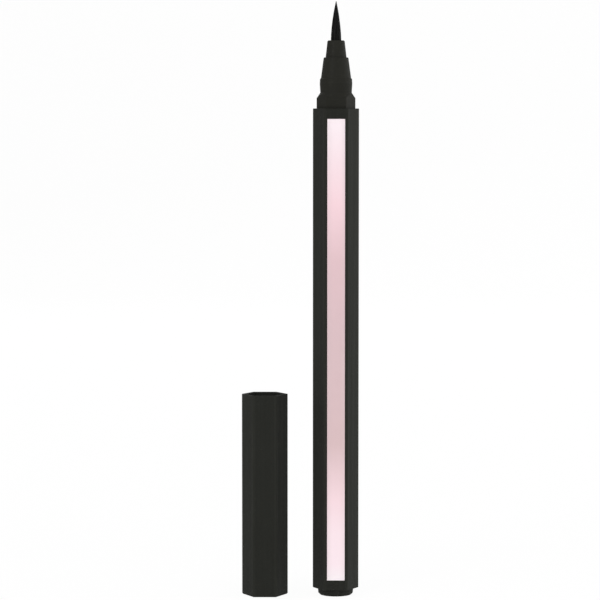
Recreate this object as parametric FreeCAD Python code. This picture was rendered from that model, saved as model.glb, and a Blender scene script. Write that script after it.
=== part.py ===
# Liquid eyeliner pen with a brush tip: hexagonal barrel, stepped nozzle, and a cap that stands beside it.
# Millimetres. The pen stands on its tail plug with the brush up: Z runs up its axis and the origin is the
# middle of its foot. The flat that carries the label faces -Y. The cap stands on its closed end, mouth up.
import FreeCAD, Part

import math
import os

Vector = FreeCAD.Vector

# Walls around the brush, from the middle of the pen outwards
brush_radius = 1.12       # filament bundle where it leaves the sleeve
brush_slip = 0.03         # gap around the bundle in the sleeve's bore
sleeve_lip = 0.67         # wall of the tip sleeve at its front edge
sleeve_draft = 6.1        # degrees
nozzle_lip = 0.39         # ring of nozzle that shows around the sleeve
nozzle_draft = 7.6        # degrees
bead_step = 0.20          # the snap bead stands this proud of the cone in front of it
bead_crown = 0.055        # swell of the bead's crest out of its front edge
neck_undercut = 0.06      # neck behind the bead, below the bead's front edge
collar_ledge = 0.25       # from the neck out to the middle of a collar flat
shoulder_land = 0.70      # from a collar flat out to the barrel flat beside it
barrel_wall = 1.35        # at the middle of a flat

# Heights of the visible stages, from the foot up
plug_foot = 1.40
barrel_length = 101.50
collar_height = 2.10      # straight part of the collar's corners
neck_height = 1.20        # chamfer from those corners in to the neck
bead_height = 3.07
bead_ramp = 0.25          # slope from the bead's front edge down to the cone
bead_crest = 0.95         # from the bead's front edge back to its crest
cone_height = 4.28
sleeve_height = 3.55
brush_height = 8.20

# Edges
barrel_edge_radius = 0.45
collar_edge_radius = 0.20
end_break = 0.10          # chamfer round both ends of the barrel
nozzle_edge_break = 0.12
sleeve_edge_break = 0.18

# Label, in a shallow recess of the front flat
label_thickness = 0.08
label_sink = 0.03         # the film lies this far below the flat
label_side_margin = 0.60
label_end_margin = 2.20
label_gap = 0.03          # between the film and the recess's walls

# Fits
press_gap = 0.02          # radial gap of pieces that are pressed together
core_gap = 0.05           # radial gap round the feed core

# Tail plug
plug_inset = 0.48         # the foot's rim lies this far inside the barrel's flats
plug_draft = 4.0          # degrees
plug_edge_break = 0.35
plug_spigot_length = 7.0
plug_relief = 0.12        # the spigot's waist lies this far inside its barbs
plug_barb_height = 0.40
plug_barb_inset = 1.00    # from either end of the spigot to a barb
plug_lead_in = 0.25
plug_floor = 0.80         # thickness of its floor above the foot
gate_recess_radius = 0.7  # moulding gate, kept off the surface the piece stands on
gate_recess_depth = 0.15

# Ink store and feed
tank_step = 0.20          # the tank's bore is this much tighter than the front bore
ball_radius = 1.00
ball_gap = 0.02           # between the ball and what stops it at either end
ball_side_gap = 0.31      # round the ball in the hollow of the tail plug
core_radius = 0.55
core_dip = 1.50           # length of core that hangs in the tank
core_grip = 3.00          # length of core inside the brush
collector_length = 22.0
collector_gap = 0.06      # radial gap between the fins and the bore
collector_tube_wall = 0.40
end_disc = 1.20
fin_thickness = 1.10
fin_gap = 1.70
ink_slit = 0.16
air_groove_width = 0.90
air_groove_depth = 0.80

# Nozzle inside the barrel, and what it holds
spigot_length = 8.0
spigot_wall = 0.85
spigot_lead_in = 0.30
pocket_floor = 1.0
sleeve_shank = 5.20
root_flange = 0.40        # fused root of the brush stands this far out of the bundle
root_height = 0.80
brush_belly = 0.165       # bulge of the brush's outline out of a straight cone

# Cap
cap_length = 42.70
cap_offset = 15.0         # from the pen's axis to the cap's
cap_gap = 0.06            # gap round the collar in the cap's socket
cap_end = 1.80            # thickness of the closed end
cap_end_break = 0.20
snap_gap = 0.08           # radial gap round the bead
snap_bite = 0.06          # the snap rib reaches this far inside the bead
snap_rib_width = 0.50
seat_step = 0.05          # the inner cap's seat is this much tighter than the snap bore
seat_length = 5.00        # grip of the inner cap in its seat
inner_wall = 0.60         # of the inner cap, below the ledge that it sits on
inner_floor = 1.00
inner_gap = 0.10          # air gap between the nozzle and the inner cap's seat
inner_side_gap = 0.14     # air round the inner cap below its seat
brush_room = 0.55         # air above the brush in the closed cap

# Radii and heights that follow from the sizes above
sleeve_bore = brush_radius + brush_slip
sleeve_tip_radius = sleeve_bore + sleeve_lip
sleeve_radius = sleeve_tip_radius + sleeve_height * math.tan(math.radians(sleeve_draft))
nozzle_tip_radius = sleeve_radius + nozzle_lip
cone_radius = nozzle_tip_radius + cone_height * math.tan(math.radians(nozzle_draft))
bead_edge_radius = cone_radius + bead_step
bead_radius = bead_edge_radius + bead_crown
neck_radius = bead_edge_radius - neck_undercut
collar_apothem = neck_radius + collar_ledge
barrel_apothem = collar_apothem + shoulder_land
front_bore = barrel_apothem - barrel_wall
tank_bore = front_bore - tank_step
plug_radius = barrel_apothem - plug_inset
face_width = 2 * barrel_apothem * math.tan(math.pi / 6)
label_width = face_width - 2 * label_side_margin
label_length = barrel_length - 2 * label_end_margin
inner_lip_radius = cone_radius + inner_gap
inner_throat_radius = nozzle_tip_radius + inner_gap
inner_chamber_radius = sleeve_radius + inner_gap
snap_bore = bead_radius + snap_gap
seat_bore = snap_bore - seat_step
void_bore = inner_chamber_radius + inner_wall + inner_side_gap

barrel_rear = plug_foot
label_bottom = barrel_rear + label_end_margin
shoulder = barrel_rear + barrel_length
neck_z = shoulder + collar_height + neck_height
bead_z = neck_z + bead_height
nozzle_tip_z = bead_z + cone_height
sleeve_tip_z = nozzle_tip_z + sleeve_height
brush_tip_z = sleeve_tip_z + brush_height
plug_top = barrel_rear + plug_spigot_length
collector_front = shoulder - spigot_length
collector_rear = collector_front - collector_length
pocket_z = nozzle_tip_z - sleeve_shank
core_bottom = collector_rear - core_dip
core_top = pocket_z + core_grip
plug_inside = barrel_rear + plug_floor
ball_z = plug_inside + ball_gap + ball_radius
ball_travel = core_bottom - ball_gap - ball_radius - ball_z

# Depths inside the mouth of the cap, which the closed cap puts level with the stages of the nozzle
socket_depth = neck_z - shoulder
rib_depth = socket_depth + snap_rib_width / 2
seat_depth = bead_z - shoulder
ledge_depth = seat_depth + seat_length
cone_depth = nozzle_tip_z - shoulder
well_depth = brush_tip_z - shoulder + brush_room


def turned(outline):
    """Revolves a closed outline of points (radius, height) about Z."""
    points = [Vector(radius, 0, height) for radius, height in outline]
    face = Part.Face(Part.makePolygon(points + points[:1]))
    return face.revolve(Vector(0, 0, 0), Vector(0, 0, 1), 360)


def bow(start, end, bulge, chords):
    """Points after start of a shallow parabola to end, in equal chords, with its middle out by the bulge."""
    points = []
    for i in range(1, chords + 1):
        share = i / chords
        swell = 4 * bulge * share * (1 - share)
        radius = start[0] + (end[0] - start[0]) * share + swell
        height = start[1] + (end[1] - start[1]) * share
        points.append((radius, height))
    return points


def hexagon(apothem, bottom, height, edge_radius):
    """Hexagonal prism with flats to the front and back and six rounded long edges."""
    corner = apothem / math.cos(math.pi / 6)
    points = []
    for i in range(7):
        angle = i * math.pi / 3
        points.append(Vector(corner * math.cos(angle), corner * math.sin(angle), bottom))
    prism = Part.Face(Part.makePolygon(points)).extrude(Vector(0, 0, height))
    long_edges = [edge for edge in prism.Edges if abs(edge.tangentAt(edge.FirstParameter).z) > 0.9]
    return prism.makeFillet(edge_radius, long_edges)


def outline_edges(prism, height):
    """Edges of a prism's end face at a height."""
    found = []
    for edge in prism.Edges:
        if all(abs(vertex.Z - height) < 1e-6 for vertex in edge.Vertexes):
            found.append(edge)
    return found


def cylinder(radius, bottom, top):
    return Part.makeCylinder(radius, top - bottom, Vector(0, 0, bottom))


def make_barrel():
    """Hexagonal tube: a tank at the rear, a wider bore in front of it, and a recess for the label."""
    shell = hexagon(barrel_apothem, barrel_rear, barrel_length, barrel_edge_radius)
    rims = outline_edges(shell, barrel_rear) + outline_edges(shell, shoulder)
    shell = shell.makeChamfer(end_break, rims)
    shell = shell.cut(cylinder(tank_bore, barrel_rear, collector_rear))
    shell = shell.cut(cylinder(front_bore, collector_rear, shoulder))
    recess_depth = label_thickness + label_sink
    recess = Part.makeBox(
        label_width + 2 * label_gap,
        recess_depth,
        label_length + 2 * label_gap,
        Vector(-label_width / 2 - label_gap, -barrel_apothem, label_bottom - label_gap),
    )
    return shell.cut(recess)


def make_label():
    """Film label that lies on the floor of its recess."""
    corner = Vector(-label_width / 2, -barrel_apothem + label_sink, label_bottom)
    return Part.makeBox(label_width, label_thickness, label_length, corner)


def make_tail_plug():
    """Foot with a drafted side and a broken edge, and a hollow spigot with two barbs that seal the tank."""
    foot_radius = plug_radius - plug_foot * math.tan(math.radians(plug_draft))
    barb = tank_bore - press_gap
    waist = barb - plug_relief
    hollow = ball_radius + ball_side_gap
    outline = [
        (0, gate_recess_depth),
        (gate_recess_radius, gate_recess_depth),
        (gate_recess_radius, 0),
        (foot_radius - plug_edge_break, 0),
        (foot_radius, plug_edge_break),
        (plug_radius, plug_foot),
        (waist, plug_foot),
    ]
    for barb_z in (barrel_rear + plug_barb_inset, plug_top - plug_barb_inset - plug_barb_height):
        outline += [(waist, barb_z), (barb, barb_z), (waist, barb_z + plug_barb_height)]
    outline += [
        (waist, plug_top - plug_lead_in),
        (waist - plug_lead_in, plug_top),
        (hollow, plug_top),
        (hollow, plug_inside),
        (0, plug_inside),
    ]
    return turned(outline)


def make_mixing_ball():
    """Steel ball that stirs the ink, at rest in the tail plug."""
    return Part.makeSphere(ball_radius, Vector(0, 0, ball_z))


def make_collector():
    """Comb of thin discs on a tube, which holds the ink that warm air drives out of the tank.
    A fine slit feeds the gaps with ink, and a groove on the other side lets air back in."""
    rim = front_bore - collector_gap
    bore = core_radius + core_gap
    tube = bore + collector_tube_wall
    nose_top = pocket_z - pocket_floor
    pitch = fin_thickness + fin_gap
    fin_count = int((collector_length - 2 * end_disc - fin_gap) / pitch)
    spare = collector_length - 2 * end_disc - fin_gap - fin_count * pitch
    first_fin = collector_rear + end_disc + fin_gap + spare / 2

    outline = [(bore, collector_rear), (rim, collector_rear), (rim, collector_rear + end_disc)]
    for i in range(fin_count):
        fin_z = first_fin + i * pitch
        outline += [
            (tube, outline[-1][1]),
            (tube, fin_z),
            (rim, fin_z),
            (rim, fin_z + fin_thickness),
        ]
    outline += [
        (tube, outline[-1][1]),
        (tube, collector_front - end_disc),
        (rim, collector_front - end_disc),
        (rim, collector_front),
        (tube, collector_front),
        (tube, nose_top),
        (bore, nose_top),
    ]
    comb = turned(outline)
    slit_top = collector_front - end_disc
    slit = Part.makeBox(rim, ink_slit, slit_top - collector_rear, Vector(0, -ink_slit / 2, collector_rear))
    groove_bottom = collector_rear + end_disc
    groove = Part.makeBox(
        air_groove_depth,
        air_groove_width,
        collector_front - groove_bottom,
        Vector(-rim, -air_groove_width / 2, groove_bottom),
    )
    return comb.cut(slit).cut(groove)


def make_feed_core():
    """Fibre rod that draws ink from the tank up into the brush."""
    return turned([
        (0, core_bottom),
        (core_radius, core_bottom),
        (core_radius, core_top),
        (0, core_top),
    ])


def make_nozzle():
    """Front section: hexagonal collar, snap bead and cone outside, and a spigot pressed into the barrel."""
    collar_corner = collar_apothem / math.cos(math.pi / 6)
    collar = hexagon(collar_apothem, shoulder, collar_height + neck_height, collar_edge_radius)
    collar = collar.common(turned([
        (0, shoulder),
        (collar_corner, shoulder),
        (collar_corner, shoulder + collar_height),
        (neck_radius, neck_z),
        (0, neck_z),
    ]))

    spigot = front_bore - press_gap
    bead_front = bead_z - bead_ramp
    front = turned([
        (0, collector_front),
        (spigot - spigot_lead_in, collector_front),
        (spigot, collector_front + spigot_lead_in),
        (spigot, shoulder),
        (neck_radius, shoulder),
        (neck_radius, neck_z),
        (bead_radius, bead_front - bead_crest),
        (bead_edge_radius, bead_front),
        (cone_radius, bead_z),
        (nozzle_tip_radius + nozzle_edge_break * math.tan(math.radians(nozzle_draft)),
         nozzle_tip_z - nozzle_edge_break),
        (nozzle_tip_radius - nozzle_edge_break, nozzle_tip_z),
        (0, nozzle_tip_z),
    ])
    hollow = turned([
        (0, collector_front),
        (spigot - spigot_wall, collector_front),
        (spigot - spigot_wall, pocket_z - pocket_floor),
        (core_radius + core_gap, pocket_z - pocket_floor),
        (core_radius + core_gap, pocket_z),
        (sleeve_radius + press_gap, pocket_z),
        (sleeve_radius + press_gap, nozzle_tip_z),
        (0, nozzle_tip_z),
    ])
    return collar.fuse(front).removeSplitter().cut(hollow)


def make_tip_sleeve():
    """Cone that grips the brush, pressed into the front of the nozzle."""
    root_radius = brush_radius + root_flange + brush_slip
    return turned([
        (root_radius, pocket_z),
        (sleeve_radius, pocket_z),
        (sleeve_radius, nozzle_tip_z),
        (sleeve_tip_radius, sleeve_tip_z - sleeve_edge_break),
        (sleeve_tip_radius - sleeve_edge_break, sleeve_tip_z),
        (sleeve_bore, sleeve_tip_z),
        (sleeve_bore, pocket_z + root_height + press_gap),
        (root_radius, pocket_z + root_height + press_gap),
    ])


def make_brush_tip():
    """Bundle of filaments: fused root, straight shank in the sleeve, and a pointed tip."""
    foot = (brush_radius, sleeve_tip_z)
    point = (0, brush_tip_z)
    socket = core_radius + core_gap
    return turned([
        (socket, pocket_z),
        (brush_radius + root_flange, pocket_z),
        (brush_radius + root_flange, pocket_z + root_height),
        (brush_radius, pocket_z + root_height),
        foot,
        *bow(foot, point, brush_belly, chords=3),
        (0, core_top + core_gap),
        (socket, core_top + core_gap),
    ])


def cap_height(depth):
    """Height in the standing cap of a place this far inside its mouth."""
    return cap_length - depth


def make_cap_shell():
    """Hexagonal cap: socket for the collar, snap rib for the bead, seat for the inner cap, hollow end."""
    shell = hexagon(barrel_apothem, 0, cap_length, barrel_edge_radius)
    shell = shell.makeChamfer(cap_end_break, outline_edges(shell, 0))

    socket = hexagon(collar_apothem + cap_gap, cap_height(socket_depth), socket_depth, collar_edge_radius)

    bore = turned([
        (0, cap_height(0)),
        (snap_bore, cap_height(0)),
        (snap_bore, cap_height(rib_depth - snap_rib_width / 2)),
        (bead_radius - snap_bite, cap_height(rib_depth)),
        (snap_bore, cap_height(rib_depth + snap_rib_width / 2)),
        (snap_bore, cap_height(seat_depth)),
        (seat_bore, cap_height(seat_depth)),
        (seat_bore, cap_height(ledge_depth)),
        (void_bore, cap_height(ledge_depth)),
        (void_bore, cap_end),
        (0, cap_end),
    ])
    gate = cylinder(gate_recess_radius, 0, gate_recess_depth)
    shell = shell.cut(socket).cut(bore).cut(gate)
    return shell.translated(Vector(-cap_offset, 0, 0))


def make_inner_cap():
    """Cup that closes on the nozzle's cone and keeps the brush wet, pressed into the cap."""
    seat = seat_bore - press_gap
    cup = turned([
        (0, cap_height(well_depth + inner_floor)),
        (inner_chamber_radius + inner_wall, cap_height(well_depth + inner_floor)),
        (inner_chamber_radius + inner_wall, cap_height(ledge_depth)),
        (seat, cap_height(ledge_depth)),
        (seat, cap_height(seat_depth)),
        (inner_lip_radius, cap_height(seat_depth)),
        (inner_throat_radius, cap_height(cone_depth + inner_gap)),
        (inner_chamber_radius, cap_height(cone_depth + inner_gap)),
        (inner_chamber_radius, cap_height(well_depth)),
        (0, cap_height(well_depth)),
    ])
    return cup.translated(Vector(-cap_offset, 0, 0))


def main():
    pieces = {
        "barrel": make_barrel(),
        "front_label": make_label(),
        "tail_plug": make_tail_plug(),
        "mixing_ball": make_mixing_ball(),
        "collector": make_collector(),
        "feed_core": make_feed_core(),
        "nozzle": make_nozzle(),
        "tip_sleeve": make_tip_sleeve(),
        "brush_tip": make_brush_tip(),
        "cap_shell": make_cap_shell(),
        "inner_cap": make_inner_cap(),
    }
    os.makedirs("parts", exist_ok=True)
    for name, shape in pieces.items():
        shape.exportStep(f"parts/{name}.step")
        box = shape.BoundBox
        print(f"{name}: {len(shape.Solids)} solid, valid {shape.isValid()}, {shape.Volume:.2f} mm3, "
              f"z {box.ZMin:.2f} to {box.ZMax:.2f}, x {box.XMin:.2f} to {box.XMax:.2f}")
    print(f"across flats {2 * barrel_apothem:.3f}, collar {2 * collar_apothem:.3f}, bore {front_bore:.3f}")
    print(f"shoulder {shoulder:.2f}, brush tip {brush_tip_z:.2f}, ball travel {ball_travel:.2f}")


main()
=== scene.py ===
import math

import bpy
import numpy as np
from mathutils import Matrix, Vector


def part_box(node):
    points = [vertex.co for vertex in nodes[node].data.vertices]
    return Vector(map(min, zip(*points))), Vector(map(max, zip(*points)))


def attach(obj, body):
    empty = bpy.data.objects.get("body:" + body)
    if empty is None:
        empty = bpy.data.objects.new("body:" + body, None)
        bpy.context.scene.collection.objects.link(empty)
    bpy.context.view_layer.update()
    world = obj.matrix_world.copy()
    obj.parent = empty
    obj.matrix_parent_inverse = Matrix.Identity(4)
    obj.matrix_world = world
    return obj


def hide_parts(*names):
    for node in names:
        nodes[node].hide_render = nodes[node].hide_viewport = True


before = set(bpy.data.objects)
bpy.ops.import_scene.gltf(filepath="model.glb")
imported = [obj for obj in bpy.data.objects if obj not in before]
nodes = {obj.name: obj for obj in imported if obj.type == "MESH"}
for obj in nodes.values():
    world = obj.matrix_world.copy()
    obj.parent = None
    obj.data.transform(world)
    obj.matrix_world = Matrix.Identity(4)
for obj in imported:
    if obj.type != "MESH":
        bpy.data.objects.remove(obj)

bpy.context.view_layer.update()
mm = 0.001
noiseLow, noiseHigh = 0.3, 0.7  # most of a noise texture lies between these values
print("loaded", len(nodes), "CAD pieces")


def toLinear(hexText):
    # sRGB hex to a linear colour with alpha 1
    values = np.array([int(hexText[i:i + 2], 16) for i in (1, 3, 5)]) / 255
    linear = np.where(values <= 0.04045, values / 12.92, ((values + 0.055) / 1.055) ** 2.4)
    return (*linear.tolist(), 1.0)


def addNode(tree, kind, links=None, **settings):
    # a node with its settings; an entry of links is another node's output socket or a plain value
    node = tree.nodes.new(kind)
    for key, value in settings.items():
        setattr(node, key, value)
    for key, value in (links or {}).items():
        if isinstance(value, bpy.types.NodeSocket):
            tree.links.new(value, node.inputs[key])
        else:
            node.inputs[key].default_value = value
    return node


def startMaterial(name, sockets):
    # a material with one Principled shader; sockets are its constant values
    material = bpy.data.materials.new(name)
    material.use_nodes = True
    tree = material.node_tree
    shader = tree.nodes["Principled BSDF"]
    for key, value in sockets.items():
        shader.inputs[key].default_value = value
    return material, tree, shader


def patternScale(across, along):
    # Mapping scale for a pattern of one size across the pen and another along it
    return (1 / across, 1 / across, 1 / along)


def makeMesh(name, points, faces, material):
    # a smooth mesh object at the origin from lists of points and faces
    mesh = bpy.data.meshes.new(name)
    mesh.from_pydata(points, [], faces)
    mesh.polygons.foreach_set("use_smooth", np.ones(len(mesh.polygons), bool))
    mesh.materials.append(material)
    mesh.validate()
    mesh.update()
    piece = bpy.data.objects.new(name, mesh)
    bpy.context.scene.collection.objects.link(piece)
    return piece


def dress(material, *names):
    # CAD pieces get a finished material in their one slot
    for name in names:
        nodes[name].material_slots[0].material = material


# Black ABS
# ABS moulded in a spark-eroded steel mould: a charcoal black whose fine grain spreads the light into a broad soft
# sheen. The six long edges are rubbed a little smoother and paler by the hand.
blackAbs = dict(
    colour="#1e1f1b", cloud="#22231f", cloudSize=9 * mm, rubbed="#262722",
    ior=1.53, specular=0.14, roughness=(0.74, 0.84), endRoughness=0.95,
    rubbedPolish=0.14,  # taken off the roughness of a rubbed edge
    edgeFrom=4.60 * mm, edgeTo=4.86 * mm,  # distance from the axis over which the rubbed edge comes up
    edgeRadius=0.12 * mm, streakWidth=0.7 * mm, streakLength=25 * mm,
    grain=0.30 * mm,  # real grain is about 0.05 mm, drawn coarser to show at all
    grainDepth=0.08 * mm, grainHarshness=0.6,
)
endFacing = (0.5, 0.9)  # a normal's share along the axis at which a face begins to be an end, and is one


def addEnds(tree, place, sheen, roughness):
    # faces across the axis come from ground, unpolished faces of the mould and are dull
    facing = addNode(tree, "ShaderNodeSeparateXYZ", {"Vector": place.outputs["Normal"]})
    upright = addNode(tree, "ShaderNodeMath", {0: facing.outputs["Z"]}, operation="ABSOLUTE")
    end = addNode(tree, "ShaderNodeMapRange", {
        "Value": upright.outputs["Value"], "From Min": endFacing[0], "From Max": endFacing[1]},
        interpolation_type="SMOOTHSTEP")
    return addNode(tree, "ShaderNodeMix", {
        "Factor": end.outputs["Result"], "A": sheen, "B": roughness}, data_type="FLOAT")


def makeBlackAbs(name, axisX):
    material, tree, shader = startMaterial(name, {
        "IOR": blackAbs["ior"], "Specular IOR Level": blackAbs["specular"]})
    place = addNode(tree, "ShaderNodeTexCoord")
    centred = addNode(tree, "ShaderNodeMapping", {
        "Vector": place.outputs["Object"], "Location": (-axisX, 0, 0)})
    cloud = addNode(tree, "ShaderNodeTexNoise", {
        "Vector": centred.outputs["Vector"], "Scale": 1 / blackAbs["cloudSize"], "Detail": 3.0})
    base = addNode(tree, "ShaderNodeMix", {
        "Factor": cloud.outputs["Fac"], "A": toLinear(blackAbs["colour"]), "B": toLinear(blackAbs["cloud"])},
        data_type="RGBA")
    # rubbed edges: distance from the axis, broken up by the cloud
    apart = addNode(tree, "ShaderNodeSeparateXYZ", {"Vector": centred.outputs["Vector"]})
    level = addNode(tree, "ShaderNodeCombineXYZ", {"X": apart.outputs["X"], "Y": apart.outputs["Y"]})
    reach = addNode(tree, "ShaderNodeVectorMath", {0: level.outputs["Vector"]}, operation="LENGTH")
    edge = addNode(tree, "ShaderNodeMapRange", {
        "Value": reach.outputs["Value"], "From Min": blackAbs["edgeFrom"], "From Max": blackAbs["edgeTo"]},
        interpolation_type="SMOOTHSTEP")
    worn = addNode(tree, "ShaderNodeMath", {
        0: edge.outputs["Result"], 1: cloud.outputs["Fac"]}, operation="MULTIPLY")
    colour = addNode(tree, "ShaderNodeMix", {
        "Factor": worn.outputs["Value"], "A": base.outputs["Result"], "B": toLinear(blackAbs["rubbed"])},
        data_type="RGBA")
    tree.links.new(colour.outputs["Result"], shader.inputs["Base Color"])
    # sheen: long faint streaks from drawing the piece off its mould, the rubbed edges and the dull ends
    drawn = addNode(tree, "ShaderNodeMapping", {
        "Vector": centred.outputs["Vector"],
        "Scale": patternScale(blackAbs["streakWidth"], blackAbs["streakLength"])})
    streak = addNode(tree, "ShaderNodeTexNoise", {
        "Vector": drawn.outputs["Vector"], "Scale": 1.0, "Detail": 2.0})
    sheen = addNode(tree, "ShaderNodeMapRange", {
        "Value": streak.outputs["Fac"], "From Min": noiseLow, "From Max": noiseHigh,
        "To Min": blackAbs["roughness"][0], "To Max": blackAbs["roughness"][1]})
    polish = addNode(tree, "ShaderNodeMath", {
        0: worn.outputs["Value"], 1: -blackAbs["rubbedPolish"], 2: sheen.outputs["Result"]},
        operation="MULTIPLY_ADD")
    dull = addEnds(tree, place, polish.outputs["Value"], blackAbs["endRoughness"])
    tree.links.new(dull.outputs["Result"], shader.inputs["Roughness"])
    # mould grain, on edges that catch the light as if rounded
    grain = addNode(tree, "ShaderNodeTexNoise", {
        "Vector": centred.outputs["Vector"], "Scale": 1 / blackAbs["grain"], "Detail": 2.0,
        "Roughness": blackAbs["grainHarshness"]})
    rounded = addNode(tree, "ShaderNodeBevel", {"Radius": blackAbs["edgeRadius"]}, samples=4)
    bump = addNode(tree, "ShaderNodeBump", {
        "Height": grain.outputs["Fac"], "Distance": blackAbs["grainDepth"], "Strength": 1.0,
        "Normal": rounded.outputs["Normal"]})
    tree.links.new(bump.outputs["Normal"], shader.inputs["Normal"])
    return material


capLow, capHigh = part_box("cap_shell")
capX = (capLow[0] + capHigh[0]) / 2
dress(makeBlackAbs("blackAbsPen", 0.0), "barrel", "tail_plug")
dress(makeBlackAbs("blackAbsCap", capX), "cap_shell")

# Black PP
# Polypropylene moulded in a turned and polished mould: the same black a little paler and smoother, under a thin
# gloss, with the faint rings that the turning left in the steel.
blackPp = dict(
    colour="#242420", bloom="#292925", bloomSize=4 * mm,
    ior=1.49, specular=0.03, coat=0.035, coatRoughness=0.3, roughness=(0.60, 0.70), endRoughness=0.9,
    ring=0.32 * mm,  # turning marks are about 0.1 mm apart, drawn coarser to show
    ringWander=6 * mm, ringDepth=0.06 * mm, edgeRadius=0.16 * mm,
)


def makeBlackPp():
    material, tree, shader = startMaterial("blackPp", {
        "IOR": blackPp["ior"], "Specular IOR Level": blackPp["specular"],
        "Coat Weight": blackPp["coat"], "Coat Roughness": blackPp["coatRoughness"]})
    place = addNode(tree, "ShaderNodeTexCoord")
    bloom = addNode(tree, "ShaderNodeTexNoise", {
        "Vector": place.outputs["Object"], "Scale": 1 / blackPp["bloomSize"], "Detail": 3.0})
    colour = addNode(tree, "ShaderNodeMix", {
        "Factor": bloom.outputs["Fac"], "A": toLinear(blackPp["colour"]), "B": toLinear(blackPp["bloom"])},
        data_type="RGBA")
    tree.links.new(colour.outputs["Result"], shader.inputs["Base Color"])
    sheen = addNode(tree, "ShaderNodeMapRange", {
        "Value": bloom.outputs["Fac"], "From Min": noiseLow, "From Max": noiseHigh,
        "To Min": blackPp["roughness"][0], "To Max": blackPp["roughness"][1]})
    dull = addEnds(tree, place, sheen.outputs["Result"], blackPp["endRoughness"])
    tree.links.new(dull.outputs["Result"], shader.inputs["Roughness"])
    # turning rings, close together along the axis and hardly changing round it
    turned = addNode(tree, "ShaderNodeMapping", {
        "Vector": place.outputs["Object"], "Scale": patternScale(blackPp["ringWander"], blackPp["ring"])})
    ring = addNode(tree, "ShaderNodeTexNoise", {
        "Vector": turned.outputs["Vector"], "Scale": 1.0, "Detail": 2.0})
    rounded = addNode(tree, "ShaderNodeBevel", {"Radius": blackPp["edgeRadius"]}, samples=4)
    bump = addNode(tree, "ShaderNodeBump", {
        "Height": ring.outputs["Fac"], "Distance": blackPp["ringDepth"], "Strength": 1.0,
        "Normal": rounded.outputs["Normal"]})
    tree.links.new(bump.outputs["Normal"], shader.inputs["Normal"])
    return material


dress(makeBlackPp(), "nozzle", "tip_sleeve")

# Label film
# Printed polyester film with a satin lacquer: dusky rose in the middle, fading to a pinkish white at both ends,
# with the fine lengthwise lines of the drawn film.
labelFilm = dict(
    stops=(  # height above the floor in mm, colour
        (3.6, "#f9f0f3"), (7.0, "#fbe8ee"), (13.5, "#f9e4ea"), (20.5, "#f5d9df"), (32.5, "#d7bbbd"),
        (56.0, "#d8bcc0"), (71.0, "#e0c0c5"), (83.0, "#f5d4db"), (99.0, "#faecf1")),
    sideShade="#c9b9bb", sideShare=0.22, halfWidth=1.855 * mm,
    sideFrom=0.35,  # share of the half width at which the greyer side begins
    ior=1.5, specular=0.4, coat=0.12, coatRoughness=0.3, roughness=(0.38, 0.5),
    line=0.16 * mm, lineLength=9 * mm, lineDepth=0.0012 * mm,  # film lines are finer, drawn coarser to show
)


def makeLabelFilm():
    material, tree, shader = startMaterial("satinRoseFilm", {
        "IOR": labelFilm["ior"], "Specular IOR Level": labelFilm["specular"],
        "Coat Weight": labelFilm["coat"], "Coat Roughness": labelFilm["coatRoughness"]})
    low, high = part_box("front_label")
    place = addNode(tree, "ShaderNodeTexCoord")
    apart = addNode(tree, "ShaderNodeSeparateXYZ", {"Vector": place.outputs["Object"]})
    along = addNode(tree, "ShaderNodeMapRange", {
        "Value": apart.outputs["Z"], "From Min": low[2], "From Max": high[2]})
    fade = addNode(tree, "ShaderNodeValToRGB", {"Fac": along.outputs["Result"]})
    elements = fade.color_ramp.elements
    for i, (height, tint) in enumerate(labelFilm["stops"]):
        share = min(max((height * mm - low[2]) / (high[2] - low[2]), 0.0), 1.0)
        element = elements[i] if i < 2 else elements.new(share)  # a new ramp has two
        element.position = share
        element.color = toLinear(tint)
    # the colour runs a little greyer towards the two long edges
    across = addNode(tree, "ShaderNodeMath", {0: apart.outputs["X"]}, operation="ABSOLUTE")
    side = addNode(tree, "ShaderNodeMapRange", {
        "Value": across.outputs["Value"], "From Min": labelFilm["sideFrom"] * labelFilm["halfWidth"],
        "From Max": labelFilm["halfWidth"], "To Max": labelFilm["sideShare"]},
        interpolation_type="SMOOTHSTEP")
    colour = addNode(tree, "ShaderNodeMix", {
        "Factor": side.outputs["Result"], "A": fade.outputs["Color"], "B": toLinear(labelFilm["sideShade"])},
        data_type="RGBA")
    tree.links.new(colour.outputs["Result"], shader.inputs["Base Color"])
    # lengthwise lines, in the sheen and as the least relief
    drawn = addNode(tree, "ShaderNodeMapping", {
        "Vector": place.outputs["Object"], "Scale": patternScale(labelFilm["line"], labelFilm["lineLength"])})
    line = addNode(tree, "ShaderNodeTexNoise", {
        "Vector": drawn.outputs["Vector"], "Scale": 1.0, "Detail": 3.0})
    sheen = addNode(tree, "ShaderNodeMapRange", {
        "Value": line.outputs["Fac"], "From Min": noiseLow, "From Max": noiseHigh,
        "To Min": labelFilm["roughness"][0], "To Max": labelFilm["roughness"][1]})
    tree.links.new(sheen.outputs["Result"], shader.inputs["Roughness"])
    bump = addNode(tree, "ShaderNodeBump", {
        "Height": line.outputs["Fac"], "Distance": labelFilm["lineDepth"], "Strength": 1.0})
    tree.links.new(bump.outputs["Normal"], shader.inputs["Normal"])
    return material


dress(makeLabelFilm(), "front_label")
print("dressed the shells, nozzle and label")

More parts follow.
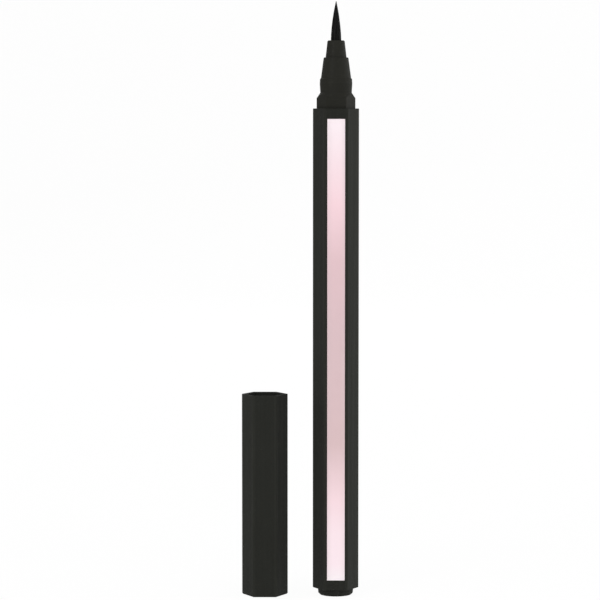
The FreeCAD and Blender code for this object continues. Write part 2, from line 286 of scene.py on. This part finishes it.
# Inner pieces
# What the closed pen hides. Each finish is mottled between a dark and a pale colour, with spots of the given size
# across the pen and along it.
innerFinish = dict(
    bumpDepth=0.002 * mm,
    pieces={
        "mixing_ball": dict(  # steel ball, tumbled bright, with fine scratches
            material="polishedSteel", dark="#bfc0c2", pale="#c9cacb", across=0.05 * mm, along=0.05 * mm,
            roughness=(0.08, 0.16), sockets={"Metallic": 1.0}),
        "collector": dict(  # moulded white PP, stained by the ink
            material="whitePp", dark="#8f8f92", pale="#e6e5df", across=5 * mm, along=5 * mm,
            roughness=(0.35, 0.5), sockets={"IOR": 1.49}),
        "feed_core": dict(  # bonded polyester fibres, wet with ink; real ones are finer, drawn coarser to show
            material="inkedFibre", dark="#141416", pale="#2b2b2e", across=0.09 * mm, along=6 * mm,
            roughness=(0.45, 0.7), sockets={"IOR": 1.5}),
        "inner_cap": dict(  # moulded natural PE, milky, with light inside it
            material="naturalPe", dark="#cfd1cb", pale="#dfe0da", across=3 * mm, along=3 * mm,
            roughness=(0.4, 0.52),
            sockets={"IOR": 1.51, "Subsurface Weight": 0.3, "Subsurface Scale": 0.6 * mm}),
    },
)


def makeInner(finish):
    material, tree, shader = startMaterial(finish["material"], finish["sockets"])
    place = addNode(tree, "ShaderNodeTexCoord")
    sized = addNode(tree, "ShaderNodeMapping", {
        "Vector": place.outputs["Object"], "Scale": patternScale(finish["across"], finish["along"])})
    mottle = addNode(tree, "ShaderNodeTexNoise", {
        "Vector": sized.outputs["Vector"], "Scale": 1.0, "Detail": 3.0})
    colour = addNode(tree, "ShaderNodeMix", {
        "Factor": mottle.outputs["Fac"], "A": toLinear(finish["dark"]), "B": toLinear(finish["pale"])},
        data_type="RGBA")
    sheen = addNode(tree, "ShaderNodeMapRange", {
        "Value": mottle.outputs["Fac"], "From Min": noiseLow, "From Max": noiseHigh,
        "To Min": finish["roughness"][0], "To Max": finish["roughness"][1]})
    bump = addNode(tree, "ShaderNodeBump", {
        "Height": mottle.outputs["Fac"], "Distance": innerFinish["bumpDepth"], "Strength": 1.0})
    tree.links.new(colour.outputs["Result"], shader.inputs["Base Color"])
    tree.links.new(sheen.outputs["Result"], shader.inputs["Roughness"])
    tree.links.new(bump.outputs["Normal"], shader.inputs["Normal"])
    return material


for name, finish in innerFinish["pieces"].items():
    dress(makeInner(finish), name)
print("dressed the inner pieces")

# Brush
# Nylon filaments, extruded black, ground to a taper and wet with ink: nearly black, each a fine bright line where
# it catches the light.
brush = dict(
    seed=7, count=320, sides=5, width=0.125 * mm,
    radius=1.14 * mm, belly=0.235 * mm, point=0.06 * mm,  # outline of the bundle, see bundleRadius
    stations=(0.0, 0.22, 0.44, 0.65, 0.84, 1.0),  # rings along the free length, with one more at the root
    endWidth=0.35, taperCurve=1.4,  # share of its width that a filament keeps at its end, and how late it thins
    shortest=0.30, earlyCurve=1.2,  # share of the free length that the shortest lacks, and how few are short
    wander=0.10,  # most that a filament leaves its even place, in radians round the axis
    swing=0.05, swingPace=9, swingStart=6.28,  # slow wave along a filament, in radians, and the range of its start
    tuftCount=13, tuftTone=0.3, hairTone=0.25, middleTone=0.5,  # paler and darker tufts, and single filaments
    root=1.52 * mm, rootHeight=0.80 * mm, bore=0.60 * mm, boreDepth=3.05 * mm,  # fused root, and room for the rod
    inkShare=0.92, inkTop=0.97, inkPoint=0.985,  # ink's share of the bundle's radius, and of its height
    inkRows=30, inkSides=40,
    dark="#121212", pale="#272727", ior=1.53, specular=0.02, roughness=(0.46, 0.58),
    lineWidth=0.05 * mm, lineLength=4 * mm,
)
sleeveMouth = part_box("tip_sleeve")[1][2]
brushFoot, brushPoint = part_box("brush_tip")[0][2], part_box("brush_tip")[1][2]
rootTop, freeLength = brushFoot + brush["rootHeight"], brushPoint - sleeveMouth


def makeFilamentMaterial():
    material, tree, shader = startMaterial("inkedNylon", {
        "IOR": brush["ior"], "Specular IOR Level": brush["specular"]})
    tone = addNode(tree, "ShaderNodeAttribute", attribute_name="filamentTone")
    colour = addNode(tree, "ShaderNodeMix", {
        "Factor": tone.outputs["Fac"], "A": toLinear(brush["dark"]), "B": toLinear(brush["pale"])},
        data_type="RGBA")
    tree.links.new(colour.outputs["Result"], shader.inputs["Base Color"])
    place = addNode(tree, "ShaderNodeTexCoord")
    drawn = addNode(tree, "ShaderNodeMapping", {
        "Vector": place.outputs["Object"], "Scale": patternScale(brush["lineWidth"], brush["lineLength"])})
    line = addNode(tree, "ShaderNodeTexNoise", {
        "Vector": drawn.outputs["Vector"], "Scale": 1.0, "Detail": 2.0})
    sheen = addNode(tree, "ShaderNodeMapRange", {
        "Value": line.outputs["Fac"], "From Min": noiseLow, "From Max": noiseHigh,
        "To Min": brush["roughness"][0], "To Max": brush["roughness"][1]})
    tree.links.new(sheen.outputs["Result"], shader.inputs["Roughness"])
    return material


def bundleRadius(share):
    # outline of the bundle: a cone from the sleeve's mouth (share 0) to the point (share 1), with a parabola for
    # its belly, highest half way, and a fourth power that leaves the end blunt
    share = np.clip(share, 0.0, 1.0)
    return brush["radius"] * (1 - share) + 4 * brush["belly"] * share * (1 - share) + brush["point"] * share ** 4


def tubeFaces(count, rings, sides):
    # quads between neighbouring rings of count tubes whose points are stored tube by tube and ring by ring
    tube, ring, side = np.meshgrid(np.arange(count), np.arange(rings - 1), np.arange(sides), indexing="ij")
    after = (side + 1) % sides
    start = (tube * rings + ring) * sides
    return np.stack([start + side, start + after, start + sides + after, start + sides + side], -1).reshape(-1, 4)


def makeFilaments(material):
    # sunflower spread: a filament's place is the square root of its number out, and a golden angle further round
    # than the one before, so that each has the same room; it keeps that share of the bundle's outline up to its
    # own end, swings a little round the axis and thins on the way
    rng = np.random.default_rng(brush["seed"])
    stations = np.array(brush["stations"])
    count, rings, sides = brush["count"], len(stations) + 1, brush["sides"]
    index = np.arange(count)
    spread = np.sqrt((index + 0.5) / count)
    turn = index * math.pi * (3 - math.sqrt(5)) + rng.uniform(-1, 1, count) * brush["wander"]
    early = rng.permutation(count) / count
    end = sleeveMouth + freeLength * (1 - brush["shortest"] * early ** brush["earlyCurve"])
    free = sleeveMouth + (end - sleeveMouth)[:, None] * stations[None, :]
    height = np.concatenate([np.full((count, 1), rootTop), free], 1)
    share = (height - sleeveMouth) / freeLength
    taper = np.clip(share / ((end - sleeveMouth) / freeLength)[:, None], 0, 1)
    half = brush["width"] / 2 * (1 - (1 - brush["endWidth"]) * taper ** brush["taperCurve"])
    reach = (bundleRadius(share) - half) * spread[:, None]
    start = rng.uniform(0, brush["swingStart"], count)[:, None]
    swing = turn[:, None] + brush["swing"] * np.sin(brush["swingPace"] * np.clip(share, 0, 1) + start)
    middle = np.stack([reach * np.cos(swing), reach * np.sin(swing), height], -1)
    angle = 2 * math.pi * np.arange(sides) / sides
    offset = np.stack([np.cos(angle), np.sin(angle), np.zeros(sides)], -1)
    points = (middle[:, :, None, :] + half[:, :, None, None] * offset).reshape(-1, 3)
    # the two ends of each filament close on a point of their own
    ends = np.concatenate([middle[:, 0], middle[:, -1]])
    around = np.arange(sides)
    after = (around + 1) % sides
    first = (index * rings * sides)[:, None]
    last = first + (rings - 1) * sides
    lowEnd = np.repeat(len(points) + index[:, None], sides, 1)
    low = np.stack([first + after, first + around, lowEnd], -1).reshape(-1, 3)
    high = np.stack([last + around, last + after, lowEnd + count], -1).reshape(-1, 3)
    faces = tubeFaces(count, rings, sides).tolist() + low.tolist() + high.tolist()
    piece = makeMesh("brushFilaments", np.concatenate([points, ends]).tolist(), faces, material)
    # wet filaments hang together in tufts that are paler or darker as a whole
    tuft = brush["tuftTone"] * np.sin(brush["tuftCount"] * turn)
    tone = np.clip(brush["middleTone"] + tuft + rng.normal(0, brush["hairTone"], count), 0, 1)
    values = np.concatenate([np.repeat(tone, rings * sides), tone, tone]).astype(np.float32)
    piece.data.attributes.new("filamentTone", "FLOAT", "POINT").data.foreach_set("value", values)
    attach(piece, "pen")
    return piece


def makeTurned(name, profile, sides, material):
    # a closed profile of radius and height carried round Z: squares between neighbouring rings, cut into triangles;
    # a ring on the axis becomes one point, and the triangles that this makes flat are left out
    profile = np.array(profile)
    rows = len(profile)
    angle = 2 * math.pi * np.arange(sides) / sides
    radius, height = profile[:, :1], np.repeat(profile[:, 1:], sides, 1)
    points = np.stack([radius * np.cos(angle), radius * np.sin(angle), height], -1).reshape(-1, 3)
    row, side = np.meshgrid(np.arange(rows), np.arange(sides), indexing="ij")
    after, above = (side + 1) % sides, (row + 1) % rows
    corners = np.stack([
        row * sides + side, row * sides + after, above * sides + after, above * sides + side], -1).reshape(-1, 4)
    triangles = np.concatenate([corners[:, [0, 1, 2]], corners[:, [0, 2, 3]]])
    number = np.arange(rows * sides)
    number = np.where(np.repeat(profile[:, 0] == 0, sides), number // sides * sides, number)
    triangles = number[triangles]
    real = np.diff(np.sort(triangles, 1)).all(1)  # three different corners
    used, fresh = np.unique(triangles[real], return_inverse=True)
    return makeMesh(name, points[used].tolist(), fresh.reshape(-1, 3).tolist(), material)


def makeInkCore(material):
    # the ink that fills the bundle, just inside the filaments, with their fused root below and the rod's bore in it
    share = np.linspace(0, brush["inkTop"], brush["inkRows"])
    slope = np.stack([bundleRadius(share) * brush["inkShare"], sleeveMouth + freeLength * share], -1)
    below = [(brush["bore"], brushFoot), (brush["root"], brushFoot), (brush["root"], rootTop),
             (brush["radius"] * brush["inkShare"], rootTop)]
    boreTop = brushFoot + brush["boreDepth"]
    above = [(0.0, sleeveMouth + freeLength * brush["inkPoint"]), (0.0, boreTop), (brush["bore"], boreTop)]
    piece = makeTurned("brushInkCore", below + slope.tolist() + above, brush["inkSides"], material)
    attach(piece, "pen")


filamentMaterial = makeFilamentMaterial()
filaments = makeFilaments(filamentMaterial)
makeInkCore(filamentMaterial)
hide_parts("brush_tip")
print("made the brush:", brush["count"], "filaments")

# Sweep of white paper
# One sheet of matt white paper: floor, bend and wall. It keeps the shadow of the pen, thinned by the white that the
# sheet shows by itself, and runs to the grey of the room at its two sides, which draws the long edges of the pen,
# and at its front. The white part widens towards the wall.
sweep = dict(
    width=3.0, front=-1.4, back=0.9, bend=0.35, wall=1.0, steps=24, paper="#ffffff", side="#d4d4d4",
    whiteTo=0.07, greyFrom=0.45, widening=0.13,  # distance from the middle, and its growth towards the wall
    whiteAhead=-0.5, greyAhead=-1.2,  # the same towards the front
    ownWhite=0.94,  # share of the white part that the sheet shows by itself
)


def addSeen(tree):
    # 1 for rays that show a surface to the camera, straight, in gloss or through glass, and 0 for those that light
    path = addNode(tree, "ShaderNodeLightPath")
    direct = addNode(tree, "ShaderNodeMath", {
        0: path.outputs["Is Camera Ray"], 1: path.outputs["Is Glossy Ray"]}, operation="MAXIMUM")
    return addNode(tree, "ShaderNodeMath", {
        0: direct.outputs["Value"], 1: path.outputs["Is Transmission Ray"]}, operation="MAXIMUM")


def makePaper():
    material = bpy.data.materials.new("whitePaper")
    material.use_nodes = True
    tree = material.node_tree
    tree.nodes.clear()
    # how far a place is out of the white part, to the side or to the front, whichever is more
    place = addNode(tree, "ShaderNodeTexCoord")
    apart = addNode(tree, "ShaderNodeSeparateXYZ", {"Vector": place.outputs["Object"]})
    across = addNode(tree, "ShaderNodeMath", {0: apart.outputs["X"]}, operation="ABSOLUTE")
    behind = addNode(tree, "ShaderNodeMath", {0: apart.outputs["Y"], 1: 0.0}, operation="MAXIMUM")
    aside = addNode(tree, "ShaderNodeMath", {
        0: behind.outputs["Value"], 1: -sweep["widening"], 2: across.outputs["Value"]},
        operation="MULTIPLY_ADD")
    ahead = addNode(tree, "ShaderNodeMapRange", {
        "Value": apart.outputs["Y"], "From Min": sweep["whiteAhead"], "From Max": sweep["greyAhead"],
        "To Min": sweep["whiteTo"], "To Max": sweep["greyFrom"]})
    farthest = addNode(tree, "ShaderNodeMath", {
        0: aside.outputs["Value"], 1: ahead.outputs["Result"]}, operation="MAXIMUM")
    out = addNode(tree, "ShaderNodeMapRange", {
        "Value": farthest.outputs["Value"], "From Min": sweep["whiteTo"], "From Max": sweep["greyFrom"]},
        interpolation_type="SMOOTHSTEP")
    colour = addNode(tree, "ShaderNodeMix", {
        "Factor": out.outputs["Result"], "A": toLinear(sweep["paper"]), "B": toLinear(sweep["side"])},
        data_type="RGBA")
    # lit paper for the shadow, and the white of its own, which is all that the grey edges show
    paper = addNode(tree, "ShaderNodeBsdfDiffuse", {"Color": colour.outputs["Result"]})
    white = addNode(tree, "ShaderNodeEmission", {"Color": colour.outputs["Result"], "Strength": 1.0})
    own = addNode(tree, "ShaderNodeMapRange", {
        "Value": out.outputs["Result"], "To Min": sweep["ownWhite"], "To Max": 1.0})
    seen = addSeen(tree)
    share = addNode(tree, "ShaderNodeMath", {
        0: seen.outputs["Value"], 1: own.outputs["Result"]}, operation="MULTIPLY")
    mixed = addNode(tree, "ShaderNodeMixShader", {
        0: share.outputs["Value"], 1: paper.outputs["BSDF"], 2: white.outputs["Emission"]})
    addNode(tree, "ShaderNodeOutputMaterial", {"Surface": mixed.outputs["Shader"]})
    return material


def makeSweep():
    # profile in Y and Z: flat, a quarter circle, then upright; carried along X
    bend = np.linspace(0, math.pi / 2, sweep["steps"])
    profile = np.concatenate([
        [[sweep["front"], 0.0]],
        np.stack([sweep["back"] + sweep["bend"] * np.sin(bend), sweep["bend"] * (1 - np.cos(bend))], -1),
        [[sweep["back"] + sweep["bend"], sweep["wall"]]]])
    across = np.array([-sweep["width"] / 2, sweep["width"] / 2])
    points = np.stack([
        np.repeat(across[None, :], len(profile), 0), np.repeat(profile[:, :1], 2, 1),
        np.repeat(profile[:, 1:], 2, 1)], -1).reshape(-1, 3)
    row = np.arange(len(profile) - 1) * 2
    faces = np.stack([row, row + 1, row + 3, row + 2], -1)
    paperSweep = makeMesh("paperSweep", points.tolist(), faces.tolist(), makePaper())


makeSweep()

# Lights
# Large dim panels, as soft boxes are, and a plain grey room.
lights = dict(
    room="#ffffff", roomLevel=0.4, backdrop=sweep["side"],
    aim=(0.0, 0.0, 0.06),  # all panels face the middle of the pen
    panels=dict(
        frontPanel=dict(place=(-0.55, -1.15, 0.80), width=1.9, height=1.5, radiance=0.49),
        keyPanel=dict(place=(-0.66, -0.92, 0.42), width=0.28, height=0.75, radiance=4.6),
        fillPanel=dict(place=(0.85, -1.05, 0.70), width=1.0, height=1.2, radiance=0.64),
        rightPanel=dict(place=(0.93, 0.26, 0.35), width=1.4, height=0.64, radiance=2.3),
        topPanel=dict(place=(-0.10, -0.28, 1.10), width=0.9, height=0.5, radiance=1.3),
        backPanel=dict(place=(-0.25, 0.80, 0.50), width=1.0, height=0.4, radiance=1.6)),
)


def makeRoom():
    # the room lights at its own level, and looks like the sides of the sweep
    world = bpy.data.worlds.new("greyRoom")
    world.use_nodes = True
    tree = world.node_tree
    tree.nodes.clear()
    room = addNode(tree, "ShaderNodeBackground", {
        "Color": toLinear(lights["room"]), "Strength": lights["roomLevel"]})
    backdrop = addNode(tree, "ShaderNodeBackground", {"Color": toLinear(lights["backdrop"]), "Strength": 1.0})
    seen = addSeen(tree)
    mixed = addNode(tree, "ShaderNodeMixShader", {
        0: seen.outputs["Value"], 1: room.outputs["Background"], 2: backdrop.outputs["Background"]})
    addNode(tree, "ShaderNodeOutputWorld", {"Surface": mixed.outputs["Shader"]})
    bpy.context.scene.world = world


def makePanel(name, place, width, height, radiance):
    lamp = bpy.data.lights.new(name, "AREA")
    lamp.shape = "RECTANGLE"
    lamp.size, lamp.size_y = width, height
    lamp.energy = radiance * math.pi * width * height  # power of a diffuse panel of that radiance
    panel = bpy.data.objects.new(name, lamp)
    panel.location = place
    panel.rotation_euler = (Vector(lights["aim"]) - Vector(place)).to_track_quat("-Z", "Y").to_euler()
    bpy.context.scene.collection.objects.link(panel)


makeRoom()
for name, panel in lights["panels"].items():
    makePanel(name, **panel)

# Camera
# Eye level near the top of the pen, half a metre away, tilted down a little to centre it.
camera = dict(
    place=(-7.556 * mm, -542 * mm, 101 * mm),
    tilt=-4.052,  # degrees
    lens=154.55, sensor=36.0, clip=(0.01, 20.0),
)


def makeCamera():
    data = bpy.data.cameras.new("photoCamera")
    data.lens, data.sensor_width, data.sensor_fit = camera["lens"], camera["sensor"], "HORIZONTAL"
    data.clip_start, data.clip_end = camera["clip"]
    eye = bpy.data.objects.new("photoCamera", data)
    eye.location = camera["place"]
    eye.rotation_euler = (math.radians(90 + camera["tilt"]), 0, 0)
    bpy.context.scene.collection.objects.link(eye)
    bpy.context.scene.camera = eye


makeCamera()
bpy.context.scene.view_settings.view_transform = "Standard"
print("set up the sweep, lights and camera")

bpy.context.view_layer.update()
